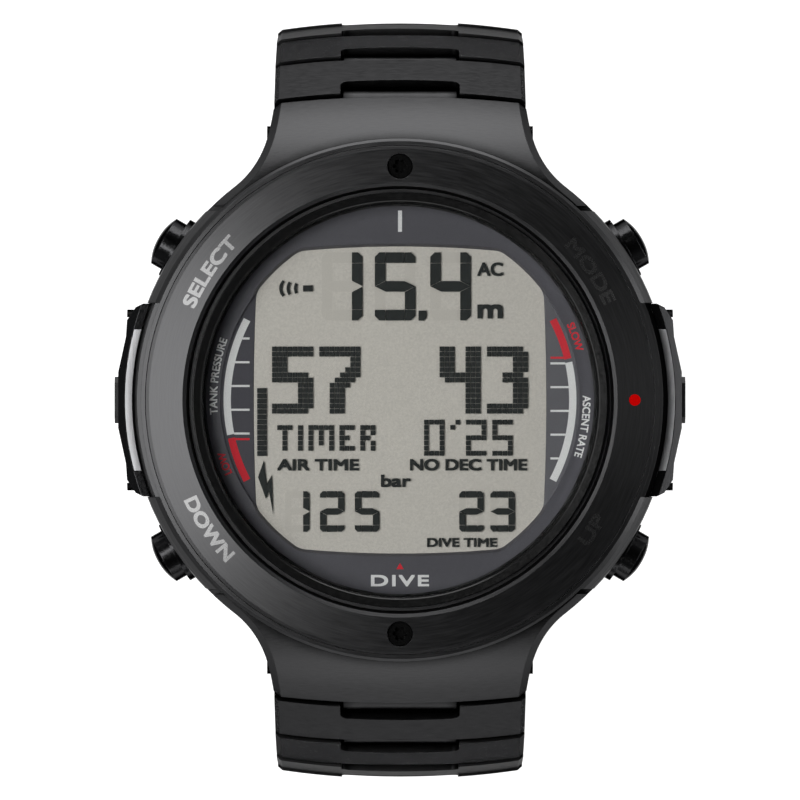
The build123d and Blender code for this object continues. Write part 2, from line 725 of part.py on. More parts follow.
def end_link_plan():
    """Plan of an end link: flared round the case, then as wide as the links."""
    left_flare = [(-x, y) for x, y in reversed(END_LINK_FLARE)]
    with BuildSketch(Plane.XY) as plan:
        with BuildLine():
            Spline(*END_LINK_FLARE)
            Polyline(
                END_LINK_FLARE[-1],
                (LINK_HALF_WIDTH, 33),
                (-LINK_HALF_WIDTH, 33),
                left_flare[0],
            )
            Spline(*left_flare)
            Line(left_flare[-1], END_LINK_FLARE[0])
        make_face()
    return plan.sketch


def end_link_profile():
    """Side view of an end link below its skin: seam face and ears round the pin."""
    pin_y, pin_z = END_PIN[0], up(END_PIN[1])
    beyond_seam = FIRST_PROFILE.from_local_coords(Vector(SEAM, LINK_OUTER + 1.5, 0))
    with BuildSketch(Plane.YZ) as profile:
        with BuildLine():
            Polyline(
                (18.0, up(18)),
                (beyond_seam.Y, up(18)),
                (beyond_seam.Y, beyond_seam.Z),
                (SEAM_INNER.Y, SEAM_INNER.Z),
                (pin_y + 1.2, pin_z + 1.2),
                (pin_y + 1.7, pin_z),
                (pin_y + 1.2, pin_z - 1.2),
                (pin_y, pin_z - 1.7),
                (22.0, up(3.4)),
                (18.0, up(4.5)),
                close=True,
            )
        make_face()
    return profile.sketch


def end_link_crown():
    """Crown of the links, widened to the flare, in a section through the skin's arc."""
    half = 18.5
    top = SKIN_ARC.radius
    edge = top - (LINK_OUTER - LINK_EDGE) * (half / LINK_HALF_WIDTH) ** 2
    centre = SKIN_ARC.arc_center
    with BuildSketch(Plane(centre, x_dir=(1, 0, 0), z_dir=(0, -1, 0))) as crown:
        with BuildLine():
            ThreePointArc((-half, edge), (0, top), (half, edge))
            Polyline((half, edge), (half, 4), (-half, 4), (-half, edge))
        make_face()
    return crown.sketch


with BuildPart() as end_link_top:
    extrude(end_link_profile(), amount=19, both=True)
    extrude(end_link_plan(), amount=80, mode=Mode.INTERSECT)
    revolve(end_link_crown(), axis=Axis(SKIN_ARC.arc_center, (1, 0, 0)), mode=Mode.INTERSECT)
    long_edges = end_link_top.edges().filter_by(lambda edge: edge.length > 10)
    flanks = long_edges.filter_by(lambda edge: abs(edge.center().X) > LINK_HALF_WIDTH)
    chamfer(flanks.filter_by(lambda edge: edge.center().Z > up(9)), FLANK)
    # room for the case, the bezel and the tab that the end link hooks over
    block(Plane.XY, 60, 2 * END_LINK_START, 0, 80, Mode.SUBTRACT)
    rod(HEAD_PLANE, CASE_RADIUS + 0.05, 0, END_LEDGE + 0.05, Mode.SUBTRACT)
    rod(HEAD_PLANE, SKIN_RADIUS + 0.05, 0, 20, Mode.SUBTRACT)
    block(Plane.YZ, 8, 5.6, -7.7, 7.7, Mode.SUBTRACT, (END_PIN[0] - 0.6, up(4.6)))
    rod(Plane.YZ, 0.8, -20, 20, Mode.SUBTRACT, (END_PIN[0], up(END_PIN[1])))
    with BuildSketch(FIRST_PROFILE) as first_tongue:
        Circle(TONGUE_RADIUS)
        with Locations((-1.1, 0.1)):
            Rectangle(2.2, 1.9)
    extrude(first_tongue.sketch, amount=TONGUE_HALF_WIDTH, both=True)
    rod(FIRST_PROFILE, PIN_RADIUS + PIN_CLEARANCE, -7, 7, Mode.SUBTRACT)
save(end_link_top, "end_link_top")

with BuildPart() as end_link_bottom:
    add(end_link_top.part.mirror(Plane.XZ))
save(end_link_bottom, "end_link_bottom")

with BuildPart() as end_link_pins:
    for side in (1, -1):
        rod(Plane.YZ, 0.8, -12.95, 12.95, position=(side * END_PIN[0], up(END_PIN[1])))
save(end_link_pins, "end_link_pins")

for side, letter in ((1, "t"), (-1, "b")):
    for index, angle in enumerate(LINK_ANGLES):
        name = f"link_{letter}{index + 1}"
        pieces = make_link(PIVOTS[index], angle, side)
        if name == "link_t7":
            # the spring bar stays in the last tongue, its two tips drawn in
            with BuildPart() as spring_bar:
                bar_plane = profile_plane(PIVOTS[index + 1], angle, side)
                rod(bar_plane, PIN_RADIUS + PIN_CLEARANCE, -4.6, 4.6)
                rod(bar_plane, 0.35, -5.4, 5.4)
            pieces.append(spring_bar)
        save_solids(pieces, name)


# ================================================================ clasp
def arch_point(radius, angle):
    """Point (y, z) of the clasp's arch, with the angle counted from straight down."""
    a = radians(angle)
    return (radius * sin(a), CLASP_CENTRE - radius * cos(a))


def arch_angle(y, radius):
    return degrees(asin(y / radius))


def arch_band(inner, outer, start, end):
    """Part of the arch between two radii and two angles, in the YZ plane."""
    middle = (start + end) / 2
    with BuildSketch(Plane.YZ) as band:
        with BuildLine():
            ThreePointArc(
                arch_point(outer, start), arch_point(outer, middle), arch_point(outer, end)
            )
            Line(arch_point(outer, end), arch_point(inner, end))
            ThreePointArc(
                arch_point(inner, end), arch_point(inner, middle), arch_point(inner, start)
            )
            Line(arch_point(inner, start), arch_point(outer, start))
        make_face()
    return band.sketch


def arch_plate(inner, outer, start, end, half_width, mode=Mode.ADD):
    extrude(arch_band(inner, outer, start, end), amount=half_width, both=True, mode=mode)


def cut_arch_crown(inset=0.0):
    """Crown the clasp like the links. The plates come up to ROUGH_RADIUS before."""
    half = 14.0
    drop = (LINK_OUTER - LINK_EDGE) * (half / LINK_HALF_WIDTH) ** 2
    skin = CLASP_CENTRE - CLASP_RADIUS + inset
    with BuildSketch(Plane.XZ) as beyond:
        with BuildLine():
            ThreePointArc((-half, skin + drop), (0, skin), (half, skin + drop))
            Polyline((half, skin + drop), (half, skin - 3), (-half, skin - 3), (-half, skin + drop))
        make_face()
    revolve(beyond.sketch, axis=Axis((0, 0, CLASP_CENTRE), (1, 0, 0)), mode=Mode.SUBTRACT)


def trim_clasp_end(plane):
    """Relieve the inner corner for the last link and break the outer edge."""
    with BuildSketch(plane) as corners:
        with BuildLine():
            Polyline((-2.5, 0), (-LINK_NOSE, 0), (-0.5, -2.0), (-0.5, -6), (-2.5, -6), close=True)
        make_face()
        with BuildLine():
            Polyline((-1.5, 1.35), (-0.55, 2.3), (-1.5, 2.3), close=True)
        make_face()
    extrude(corners.sketch, amount=20, both=True, mode=Mode.SUBTRACT)


def clasp_pin_plane(side):
    """Profile plane on the clasp's end pin, running along the arch to the middle."""
    return profile_plane(PIVOTS[-1], 180 - CLASP_PIN_ANGLE, side)


COVER_START = arch_angle(-22.2, 88)
COVER_END = CLASP_PIN_ANGLE + LINK_NOSE * DEGREES_PER_MM
FORK_START = CLASP_PIN_ANGLE - 2.0 * DEGREES_PER_MM
COVER_HINGE_ANGLE = arch_angle(*COVER_HINGE)
BLADE_HINGE_ANGLE = arch_angle(*BLADE_HINGE)
FLAP_ANGLE = arch_angle(*FLAP_HINGE)
COVER_HINGE_POINT = arch_point(COVER_HINGE[1], COVER_HINGE_ANGLE)
BLADE_HINGE_POINT = arch_point(BLADE_HINGE[1], BLADE_HINGE_ANGLE)
FLAP_POINT = arch_point(FLAP_HINGE[1], FLAP_ANGLE)
PUSHER_POINT = arch_point(CLASP_RADIUS - 3.0, arch_angle(CLASP_PUSHER_Y, CLASP_RADIUS - 3.0))
WALL_INNER = COVER_HALF_WIDTH - COVER_WALL
WALL_RADIUS = INNER_BLADE_TOP - 1.3

with BuildPart() as clasp_cover:
    arch_plate(WALL_RADIUS, ROUGH_RADIUS, COVER_START, FORK_START, COVER_HALF_WIDTH)
    channel = arch_band(WALL_RADIUS - 1, CLASP_RADIUS - COVER_PLATE, COVER_START - 1, FORK_START + 1)
    extrude(channel, amount=WALL_INNER, both=True, mode=Mode.SUBTRACT)
    fork_bottom = CLASP_PIN_RADIUS - LINK_INNER
    arch_plate(fork_bottom, ROUGH_RADIUS, FORK_START, COVER_END, LINK_HALF_WIDTH)
    cut_arch_crown()
    trim_clasp_end(clasp_pin_plane(1))
    cut_notch(clasp_pin_plane(1))
    rod(clasp_pin_plane(1), PIN_RADIUS, -11.9, 11.9, Mode.SUBTRACT)
    # hinge with the outer blade
    rod(Plane.YZ, 0.45, -20, 20, Mode.SUBTRACT, COVER_HINGE_POINT)
    # recess and hinge slot of the lock flap
    recess = arch_band(CLASP_RADIUS - 1.0, ROUGH_RADIUS, COVER_START - 2, FLAP_ANGLE + 0.72)
    extrude(recess, amount=7.2, both=True, mode=Mode.SUBTRACT)
    slot = arch_band(CLASP_RADIUS - 4.0, ROUGH_RADIUS, FLAP_ANGLE - 0.72, FLAP_ANGLE + 0.72)
    extrude(slot, amount=4.2, both=True, mode=Mode.SUBTRACT)
    rod(Plane.YZ, 0.35, -9, 9, Mode.SUBTRACT, FLAP_POINT)
    for side in (1, -1):
        rod(Plane.YZ, 1.0, side * 9, side * 13, Mode.SUBTRACT, PUSHER_POINT)
        rod(Plane.YZ, 1.62, side * 10.9, side * 13, Mode.SUBTRACT, PUSHER_POINT)
    # flat foot
    with BuildSketch(Plane.XY):
        Rectangle(60, 60)
    extrude(amount=-3, mode=Mode.SUBTRACT)
save(clasp_cover, "clasp_cover")

with BuildPart() as blade_outer:
    arch_plate(
        OUTER_BLADE_TOP - BLADE_THICKNESS,
        OUTER_BLADE_TOP,
        COVER_HINGE_ANGLE,
        BLADE_HINGE_ANGLE,
        BLADE_HALF_WIDTH,
    )
    window = arch_band(
        OUTER_BLADE_TOP - 2,
        OUTER_BLADE_TOP + 1,
        COVER_HINGE_ANGLE + 2.6,
        BLADE_HINGE_ANGLE - 2.6,
    )
    extrude(window, amount=5.2, both=True, mode=Mode.SUBTRACT)
    rod(Plane.YZ, 0.75, -BLADE_HALF_WIDTH, BLADE_HALF_WIDTH, position=COVER_HINGE_POINT)
    rod(Plane.YZ, 0.45, -20, 20, Mode.SUBTRACT, COVER_HINGE_POINT)
    rod(Plane.YZ, 1.4, -BLADE_HALF_WIDTH, BLADE_HALF_WIDTH, position=BLADE_HINGE_POINT)
    # the inner blade's knuckle turns between this blade's two
    rod(Plane.YZ, 1.75, -3.75, 3.75, Mode.SUBTRACT, BLADE_HINGE_POINT)
    rod(Plane.YZ, 0.6, -20, 20, Mode.SUBTRACT, BLADE_HINGE_POINT)
save(blade_outer, "blade_outer")

with BuildPart() as clasp_hinge_pins:
    rod(Plane.YZ, 0.6, -8.7, 8.7, position=BLADE_HINGE_POINT)
    rod(Plane.YZ, 0.4, -11.2, 11.2, position=COVER_HINGE_POINT)
save(clasp_hinge_pins, "clasp_hinge_pins")

BLOCK_END = -CLASP_PIN_ANGLE + 2.6 * DEGREES_PER_MM
with BuildPart() as blade_inner:
    arch_plate(
        INNER_BLADE_TOP - BLADE_THICKNESS,
        INNER_BLADE_TOP,
        BLOCK_END - 0.2,
        BLADE_HINGE_ANGLE,
        BLADE_HALF_WIDTH,
    )
    window = arch_band(
        INNER_BLADE_TOP - 3,
        INNER_BLADE_TOP + 1,
        BLOCK_END + 3.0,
        BLADE_HINGE_ANGLE - 3.4,
    )
    extrude(window, amount=6.0, both=True, mode=Mode.SUBTRACT)
    block_bottom = INNER_BLADE_TOP - BLADE_THICKNESS
    arch_plate(block_bottom, ROUGH_RADIUS, -COVER_END, BLOCK_END, LINK_HALF_WIDTH)
    cut_arch_crown()
    trim_clasp_end(clasp_pin_plane(-1))
    cut_notch(clasp_pin_plane(-1))
    rod(clasp_pin_plane(-1), PIN_RADIUS, -11.9, 11.9, Mode.SUBTRACT)
    # knuckle
    rod(Plane.YZ, 1.75, 3.45, 20, Mode.SUBTRACT, BLADE_HINGE_POINT)
    rod(Plane.YZ, 1.75, -20, -3.45, Mode.SUBTRACT, BLADE_HINGE_POINT)
    rod(Plane.YZ, 1.4, -3.45, 3.45, position=BLADE_HINGE_POINT)
    rod(Plane.YZ, 0.65, -20, 20, Mode.SUBTRACT, BLADE_HINGE_POINT)
with BuildPart() as blade_pin:
    rod(clasp_pin_plane(-1), PIN_RADIUS, -11.8, 11.8)
save_solids([blade_inner, blade_pin], "blade_inner")

with BuildPart() as lock_flap:
    arch_plate(CLASP_RADIUS - 0.95, ROUGH_RADIUS, COVER_START, FLAP_ANGLE, 7.0)
    cut_arch_crown(0.05)
    rod(Plane.YZ, 0.8, -4.0, 4.0, position=FLAP_POINT)
    rod(Plane.YZ, 0.4, -9, 9, Mode.SUBTRACT, FLAP_POINT)
save(lock_flap, "lock_flap")

with BuildPart() as lock_flap_pin:
    rod(Plane.YZ, 0.35, -8.8, 8.8, position=FLAP_POINT)
save(lock_flap_pin, "lock_flap_pin")

for side, name in ((1, "right"), (-1, "left")):
    with BuildPart() as clasp_pusher:
        rod(Plane.YZ, 1.55, side * 11.55, side * 12.4, position=PUSHER_POINT)
        rims = clasp_pusher.edges().filter_by(GeomType.CIRCLE).sort_by(Axis.X)
        outer_rim = rims[-1] if side > 0 else rims[0]
        fillet(outer_rim, 0.3)
        rod(Plane.YZ, 0.94, side * 9.95, side * 11.55, position=PUSHER_POINT)
    save(clasp_pusher, f"clasp_pusher_{name}")
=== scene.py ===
from math import asin, cos, degrees, pi, radians, sin, sqrt

import bmesh
import bpy
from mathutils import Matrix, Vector


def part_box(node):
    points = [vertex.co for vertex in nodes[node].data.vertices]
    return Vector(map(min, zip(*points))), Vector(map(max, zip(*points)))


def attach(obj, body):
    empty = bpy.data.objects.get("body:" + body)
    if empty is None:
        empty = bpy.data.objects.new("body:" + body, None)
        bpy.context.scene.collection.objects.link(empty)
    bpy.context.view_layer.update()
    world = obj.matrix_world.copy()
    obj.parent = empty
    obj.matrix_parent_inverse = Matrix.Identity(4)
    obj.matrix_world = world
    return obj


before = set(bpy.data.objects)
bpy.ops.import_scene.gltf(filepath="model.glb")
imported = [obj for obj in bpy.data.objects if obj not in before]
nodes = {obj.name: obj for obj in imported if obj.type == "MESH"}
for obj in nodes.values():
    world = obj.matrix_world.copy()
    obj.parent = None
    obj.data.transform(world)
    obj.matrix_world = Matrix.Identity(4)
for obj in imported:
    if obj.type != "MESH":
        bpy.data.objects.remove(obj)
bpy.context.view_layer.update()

# Lengths in this script are in millimetres from the middle of the dial, unless a
# comment says otherwise. MM turns them into the scene's metres.
MM = 0.001
BEZEL_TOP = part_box("bezel_ring")[1].z
MASK_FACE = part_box("dial_mask")[1].z
LCD_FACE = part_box("lcd_panel")[1].z

# ---------------------------------------------------------------- materials
BLACK_STEEL = (0.045, 0.045, 0.046, 1)
DARK_STEEL = (0.03, 0.03, 0.031, 1)
SATIN_SILVER = (0.52, 0.52, 0.53, 1)
# painted shade: the colour that narrow slots and gaps fade to
PAINTED_SHADE = (0.002, 0.002, 0.002, 1)
CREVICE_WIDTH = 1.4
CREVICE_CONTRAST = 2.5
FINE = 9000  # streaks or specks per metre


class Finish:
    """A Principled material that gets its variation from procedural patterns."""

    def __init__(self, name, color, roughness, metallic=0.0, **sockets):
        self.material = bpy.data.materials.new(name)
        self.material.use_nodes = True
        self.tree = self.material.node_tree
        self.shader = self.tree.nodes["Principled BSDF"]
        self.color = color
        self.shader.inputs["Base Color"].default_value = color
        self.shader.inputs["Roughness"].default_value = roughness
        self.shader.inputs["Metallic"].default_value = metallic
        for socket, value in sockets.items():
            self.shader.inputs[socket.replace("_", " ")].default_value = value

    def node(self, kind, **settings):
        """A new shader node with its settings."""
        made = self.tree.nodes.new(kind)
        for key, value in settings.items():
            setattr(made, key, value)
        return made

    def link(self, source, target):
        self.tree.links.new(source, target)

    def math(self, operation, first, second=None):
        """The result of an operation on numbers or sockets."""
        made = self.node("ShaderNodeMath", operation=operation)
        for socket, value in zip(made.inputs, (first, second)):
            if isinstance(value, (int, float)):
                socket.default_value = value
            elif value is not None:
                self.link(value, socket)
        return made.outputs[0]

    def place(self, scale):
        """Object coordinates, scaled per metre along each axis."""
        source = self.node("ShaderNodeTexCoord")
        mapping = self.node("ShaderNodeMapping")
        mapping.inputs["Scale"].default_value = scale
        self.link(source.outputs["Object"], mapping.inputs["Vector"])
        return mapping.outputs["Vector"]

    def polar(self, across, along):
        """Coordinates that follow the rings round the dial."""
        source = self.node("ShaderNodeTexCoord")
        split = self.node("ShaderNodeSeparateXYZ")
        join = self.node("ShaderNodeCombineXYZ")
        self.link(source.outputs["Object"], split.inputs[0])
        x, y, z = split.outputs
        squares = self.math("ADD", self.math("POWER", x, 2), self.math("POWER", y, 2))
        radius = self.math("SQRT", squares)
        angle = self.math("ARCTAN2", y, x)
        self.link(self.math("MULTIPLY", radius, across), join.inputs[0])
        self.link(self.math("MULTIPLY", angle, along), join.inputs[1])
        self.link(self.math("MULTIPLY", z, across), join.inputs[2])
        return join.outputs[0]

    def noise(self, vector, detail=2.0):
        """A cloudy pattern around 0.5, at one feature to a unit of its vector."""
        made = self.node("ShaderNodeTexNoise")
        made.inputs["Scale"].default_value = 1.0
        made.inputs["Detail"].default_value = detail
        self.link(vector, made.inputs["Vector"])
        return made.outputs["Fac"]

    def spread(self, factor, low, high):
        """A noise pattern stretched to run from a low to a high value."""
        made = self.node("ShaderNodeMapRange")
        made.inputs["From Min"].default_value = 0.3
        made.inputs["From Max"].default_value = 0.7
        made.inputs["To Min"].default_value = low
        made.inputs["To Max"].default_value = high
        self.link(factor, made.inputs["Value"])
        return made.outputs["Result"]

    def vary_roughness(self, factor, low, high):
        """Make some places smoother than others."""
        self.link(self.spread(factor, low, high), self.shader.inputs["Roughness"])

    def vary_color(self, factor, amount):
        """Darken and lighten the base colour by a share of itself."""
        mix, dark, light = self.color_mix()
        dark.default_value = [c * (1 - amount) for c in self.color[:3]] + [1]
        light.default_value = [c * (1 + amount) for c in self.color[:3]] + [1]
        self.link(self.spread(factor, 0, 1), mix.inputs["Factor"])
        self.paint(mix)

    def paint_crevice_shade(self):
        """Painted shade: darken the narrow slots and gaps, where ambient occlusion finds nearby
        surfaces.
        """
        openness = self.node("ShaderNodeAmbientOcclusion", samples=8)
        openness.inputs["Distance"].default_value = CREVICE_WIDTH * MM
        self.link(self.painted, openness.inputs["Color"])
        mix, closed, clear = self.color_mix()
        closed.default_value = PAINTED_SHADE
        self.link(openness.outputs["Color"], clear)
        depth = self.math("POWER", openness.outputs["AO"], CREVICE_CONTRAST)
        self.link(depth, mix.inputs["Factor"])
        self.paint(mix)

    def color_mix(self):
        """A mix of two colours: the node and its two colour inputs."""
        mix = self.node("ShaderNodeMix", data_type="RGBA")
        first, second = [socket for socket in mix.inputs if socket.type == "RGBA"]
        return mix, first, second

    def paint(self, mix):
        """Give the surface the colour that comes out of a mix."""
        self.painted = [socket for socket in mix.outputs if socket.type == "RGBA"][0]
        self.link(self.painted, self.shader.inputs["Base Color"])

    def bump(self, factor, depth, edge=0.0):
        """Relief of a depth in mm, with edges rounded to a radius in mm."""
        relief = self.node("ShaderNodeBump")
        relief.inputs["Strength"].default_value = 1.0
        relief.inputs["Distance"].default_value = depth * MM
        self.link(factor, relief.inputs["Height"])
        if edge:
            rounding = self.node("ShaderNodeBevel", samples=4)
            rounding.inputs["Radius"].default_value = edge * MM
            self.link(rounding.outputs[0], relief.inputs["Normal"])
        self.link(relief.outputs[0], self.shader.inputs["Normal"])


def brushed_round(name, color, roughness, edge):
    """Metal brushed in rings round the dial."""
    finish = Finish(name, color, roughness, 1.0, Specular_Tint=(0.5, 0.5, 0.5, 1))
    streaks = finish.noise(finish.polar(FINE, 9), 3)
    finish.vary_color(streaks, 0.14)
    finish.vary_roughness(streaks, roughness - 0.04, roughness + 0.04)
    finish.bump(streaks, 0.0008, edge)
    return finish.material


def brushed(name, color, roughness, scale, edge, tint=0.4):
    """Metal brushed in straight lines; scale is in streaks per metre along each axis."""
    finish = Finish(name, color, roughness, 1.0, Specular_Tint=(tint, tint, tint, 1))
    streaks = finish.noise(finish.place(scale), 3)
    finish.vary_color(streaks, 0.15)
    finish.vary_roughness(streaks, roughness - 0.06, roughness + 0.06)
    finish.bump(streaks, 0.003, edge)
    # painted shade in the narrow slots and gaps, found by ambient occlusion
    finish.paint_crevice_shade()
    return finish.material


def moulded(
    name,
    color,
    roughness,
    grain=6000,
    depth=0.006,
    edge=0.1,
    variation=0.08,
    metallic=0.0,
    level=0.5,
    sheen=1.0,
):
    """Plastic, rubber, paint or plain metal with a fine even grain."""
    finish = Finish(name, color, roughness, metallic, Specular_IOR_Level=level)
    finish.shader.inputs["Specular Tint"].default_value = (sheen, sheen, sheen, 1)
    specks = finish.noise(finish.place((grain, grain, grain)), 2)
    finish.vary_color(specks, variation)
    finish.vary_roughness(specks, max(0.03, roughness - 0.05), roughness + 0.05)
    finish.bump(specks, depth, edge)
    return finish.material


def metal(name, color, roughness, sheen=1.0):
    """Plain machined metal."""
    return moulded(name, color, roughness, metallic=1.0, sheen=sheen)


def ink(name, color, variation, level=0.2):
    """Matt print, smooth and with sharp edges."""
    return moulded(name, color, 0.6, FINE, 0.002, edge=0.0, variation=variation, level=level)


def clear_crystal(name):
    """Coated flat crystal: clear, with a weak reflection that grows to the sides."""
    finish = Finish(name, (1, 1, 1, 1), 0.04, 1.0)
    wipe_marks = finish.noise(finish.place((700, 700, 700)), 2)
    finish.vary_roughness(wipe_marks, 0.02, 0.05)
    clear = finish.node("ShaderNodeBsdfTransparent")
    clear.inputs["Color"].default_value = (0.97, 0.975, 0.975, 1)
    gloss = finish.node("ShaderNodeFresnel")
    gloss.inputs["IOR"].default_value = 1.2
    mix = finish.node("ShaderNodeMixShader")
    finish.link(gloss.outputs[0], mix.inputs[0])
    finish.link(clear.outputs[0], mix.inputs[1])
    finish.link(finish.shader.outputs[0], mix.inputs[2])
    output = finish.tree.nodes["Material Output"]
    finish.link(mix.outputs[0], output.inputs["Surface"])
    return finish.material


FINISHES = {
    "bezel_steel": brushed_round("bezel_finish", BLACK_STEEL, 0.34, edge=0.04),
    "case_steel": brushed_round("case_finish", BLACK_STEEL, 0.34, edge=0.05),
    "link_steel": brushed("link_finish", BLACK_STEEL, 0.4, (900, FINE, FINE), edge=0.1, tint=0.3),
    "clasp_steel": brushed("clasp_finish", BLACK_STEEL, 0.36, (FINE, 600, FINE), edge=0.12),
    "pin_steel": metal("pin_finish", (0.5, 0.5, 0.5, 1), 0.3),
    "screw_steel": metal("screw_finish", (0.005, 0.005, 0.005, 1), 0.35, sheen=0.0),
    "trim_steel": brushed("trim_finish", SATIN_SILVER, 0.48, (FINE, 500, FINE), edge=0.05, tint=0.9),
    "button_steel": metal("button_finish", DARK_STEEL, 0.18, sheen=0.3),
    "guard_steel": metal("guard_gloss", DARK_STEEL, 0.2, sheen=0.4),
    "guard_polymer": moulded("guard_finish", (0.012, 0.012, 0.013, 1), 0.5, 5000, 0.008, level=0.3),
    "crystal_glass": clear_crystal("crystal_finish"),
    "ring_polymer": moulded("ring_finish", (0.004, 0.004, 0.004, 1), 0.2, 3000, 0.001, level=0.25),
    "seal_rubber": moulded("seal_finish", (0.02, 0.02, 0.02, 1), 0.6, level=0.3),
    "mask_polymer": moulded("mask_finish", (0.064, 0.062, 0.073, 1), 0.4, FINE, 0.003, level=0.4),
    "lcd_glass": moulded("lcd_finish", (0.56, 0.532, 0.482, 1), 0.6, 5000, 0.003, edge=0.0, level=0.2),
    "backlight": moulded("backlight_finish", (0.6, 0.66, 0.55, 1), 0.5),
    "frame_polymer": moulded("frame_finish", (0.12, 0.12, 0.12, 1), 0.5),
    "board": moulded("board_finish", (0.02, 0.12, 0.05, 1), 0.45),
    "chip": moulded("chip_finish", (0.02, 0.02, 0.022, 1), 0.5),
    "cell": metal("cell_finish", (0.6, 0.6, 0.6, 1), 0.3),
    "contact": metal("contact_finish", (0.8, 0.62, 0.3, 1), 0.3),
    "copper": metal("copper_finish", (0.75, 0.35, 0.2, 1), 0.35),
    "sensor_steel": metal("sensor_finish", (0.55, 0.55, 0.55, 1), 0.35),
    "print_white": ink("white_print", (0.72, 0.72, 0.71, 1), 0.04),
    "print_red": ink("red_print", (0.6, 0.022, 0.036, 1), 0.06),
    "lcd_ink": ink("display_ink", (0.026, 0.029, 0.028, 1), 0.05, level=0.1),
}

for part in nodes.values():
    slot_name = part.data.materials[0].name
    part.data.materials[0] = FINISHES[slot_name]

LCD_GHOST = ink("lcd_ghost", (0.525, 0.498, 0.45, 1), 0.02)
ETCHING = moulded("bezel_etching", (0.115, 0.115, 0.115, 1), 0.27, FINE, 0.001, edge=0.0, metallic=1.0)
RED_ENAMEL = moulded("red_enamel", (0.43, 0.001, 0.001, 1), 0.4, FINE, 0.002, edge=0.0, level=0.0)

# ---------------------------------------------------------------- surfaces that print lies on
PRINT_THICKNESS = 0.012
STRIKE_STEP = 0.0006  # keeps the faces of repeated strikes apart
STRIKES = ((0, 0), (-1, -1), (1, 1), (-1, 1), (1, -1))  # which way each strike is shifted
INK_HEIGHT = 0.18  # the ink lies in the glass, above the panel's pale back
BEZEL_INNER = 20.84
BEZEL_OUTER = 24.07
BEZEL_FALL = 0.75  # from the inner to the outer edge of the brushed face
# the scales' sloping floors: distance from the middle, and level below the mask's face
SCALE_LOW = (12.0, -0.67)
SCALE_HIGH = (17.3, -0.08)


def flat(centre_x, centre_y, face):
    """Lay a drawing on a level face."""

    def at(x, y, height):
        return Vector(((centre_x + x) * MM, (centre_y + y) * MM, face + height * MM))

    return at


def round_dial(radius, angle, face, tops_out=True):
    """Lay a drawing round the dial, with its baseline on a circle."""
    turn = -1 if tops_out else 1

    def at(x, y, height):
        reach = radius - turn * y
        bearing = radians(angle) + turn * x / radius
        level = face(reach) + height * MM
        return Vector((reach * cos(bearing) * MM, reach * sin(bearing) * MM, level))

    return at


def scale_face(side):
    """Lay a drawing on the sloping floor beside the display, on one side of it."""
    rise = (SCALE_HIGH[1] - SCALE_LOW[1]) / (SCALE_HIGH[0] - SCALE_LOW[0])

    def at(x, y, height):
        level = SCALE_LOW[1] + (x - SCALE_LOW[0]) * rise
        return Vector((side * x * MM, y * MM, MASK_FACE + (level + height) * MM))

    return at


def mask_face(radius):
    """Level of the mask's flat face, in metres."""
    return MASK_FACE


def bezel_face(radius):
    """Level of the bezel's sloping face at a radius, in metres."""
    share = (radius - BEZEL_INNER) / (BEZEL_OUTER - BEZEL_INNER)
    return BEZEL_TOP - share * BEZEL_FALL * MM


# ---------------------------------------------------------------- drawing tools
def add_piece(name, mesh, slot, material=None, body="head"):
    """Put a mesh into the scene, in its slot's finish unless a material is given."""
    piece = bpy.data.objects.new(name, mesh)
    bpy.context.scene.collection.objects.link(piece)
    mesh.materials.clear()
    mesh.materials.append(material or FINISHES[slot])
    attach(piece, body)
    return piece


def plates(name, outlines, at, slot, thickness=PRINT_THICKNESS, material=None):
    """Thin plates from outlines, laid on a face."""
    shape = bmesh.new()
    for outline in outlines:
        low = [shape.verts.new(at(x, y, 0)) for x, y in outline]
        high = [shape.verts.new(at(x, y, thickness)) for x, y in outline]
        shape.faces.new(high)
        shape.faces.new(low[::-1])
        for i in range(len(outline)):
            j = (i + 1) % len(outline)
            shape.faces.new((low[i], low[j], high[j], high[i]))
    bmesh.ops.recalc_face_normals(shape, faces=shape.faces)
    mesh = bpy.data.meshes.new(name)
    shape.to_mesh(mesh)
    shape.free()
    return add_piece(name, mesh, slot, material)


def text_mesh(words, spacing):
    """Mesh of some words at size 1, with its baseline at y = 0."""
    curve = bpy.data.curves.new("words", "FONT")
    curve.body = words
    curve.space_character = spacing
    curve.align_x = "CENTER"
    curve.extrude = 0.5
    holder = bpy.data.objects.new("words", curve)
    bpy.context.scene.collection.objects.link(holder)
    graph = bpy.context.evaluated_depsgraph_get()
    mesh = bpy.data.meshes.new_from_object(holder.evaluated_get(graph))
    bpy.data.objects.remove(holder)
    return mesh


def lettering(name, words, height, width, at, slot, bold, spacing=1.0, material=None):
    """Words of a capital height and an overall width, laid on a face.

    They are struck several times, shifted by the bold length, which fills out their stems.
    """
    capital = max(v.co.y for v in text_mesh("H", 1).vertices)
    source = text_mesh(words, spacing)
    xs = [v.co.x for v in source.vertices]
    middle = (max(xs) + min(xs)) / 2
    stretch = (width - 2 * bold) / (max(xs) - min(xs))
    tall = (height - 2 * bold) / capital
    strikes = bmesh.new()
    for order, (across, along) in enumerate(STRIKES):
        known = len(strikes.verts)
        strikes.from_mesh(source)
        strikes.verts.ensure_lookup_table()
        for vertex in strikes.verts[known:]:
            x = (vertex.co.x - middle) * stretch + across * bold
            y = vertex.co.y * tall + bold + along * bold
            rise = PRINT_THICKNESS * (vertex.co.z + 0.5) + order * STRIKE_STEP
            vertex.co = at(x, y, rise)
    mesh = bpy.data.meshes.new(name)
    strikes.to_mesh(mesh)
    strikes.free()
    return add_piece(name, mesh, slot, material)


def rectangle(left, bottom, width, height):
    """Outline of an upright rectangle, from its lower left corner."""
    return [
        (left, bottom),
        (left + width, bottom),
        (left + width, bottom + height),
        (left, bottom + height),
    ]


def arc_points(radius, start, end, steps=24):
    """Points on a circle from a start to an end angle in degrees."""
    angles = [radians(start + (end - start) * i / steps) for i in range(steps + 1)]
    return [(radius * cos(a), radius * sin(a)) for a in angles]


